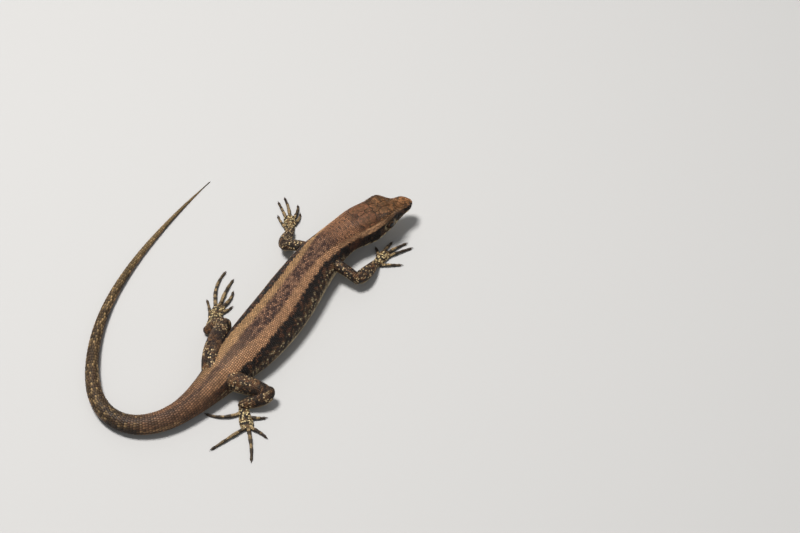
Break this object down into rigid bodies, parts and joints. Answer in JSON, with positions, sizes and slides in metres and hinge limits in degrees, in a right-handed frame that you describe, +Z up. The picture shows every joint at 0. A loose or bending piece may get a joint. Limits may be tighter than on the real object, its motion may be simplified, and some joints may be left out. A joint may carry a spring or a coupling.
{
  "type": "wall lizard",
  "caption": "Life-size wall lizard lying on its belly, head raised and turned a little to its right, slender tail swung round beside the left flank, toes spread.",
  "frame": {"origin": "on the floor under the middle of the belly", "axes": "+X towards the head, +Y to the animal's left, +Z up"},
  "size_m": [0.0791, 0.0513, 0.008],
  "materials": {
    "head_shields": "smooth bronze-brown head shields with dark marks",
    "back_scales": "fine granular scales, tan with dark bands and mottling",
    "tail_scales": "ringed keeled scales, coppery to olive brown",
    "limb_scales": "small scales, dark brown with pale spots",
    "foot_scales": "small scales, dark with cream spots",
    "eye": "wet and glossy",
    "claw": "smooth dark horn"
  },
  "bodies": {
    "root": {"head": "head_shields", "neck": "back_scales", "trunk": "back_scales", "tail_base": "tail_scales", "tail_bend": "tail_scales", "tail_middle": "tail_scales", "tail_rear": "tail_scales", "tail_tip": "tail_scales", "eye_left": "eye", "eye_right": "eye", "upper_arm_left": "limb_scales", "forearm_left": "limb_scales", "hand_left": "foot_scales", "upper_arm_right": "limb_scales", "forearm_right": "limb_scales", "hand_right": "foot_scales", "thigh_left": "limb_scales", "shank_left": "limb_scales", "foot_left": "foot_scales", "thigh_right": "limb_scales", "shank_right": "limb_scales", "foot_right": "foot_scales"}
  },
  "joints": []
}
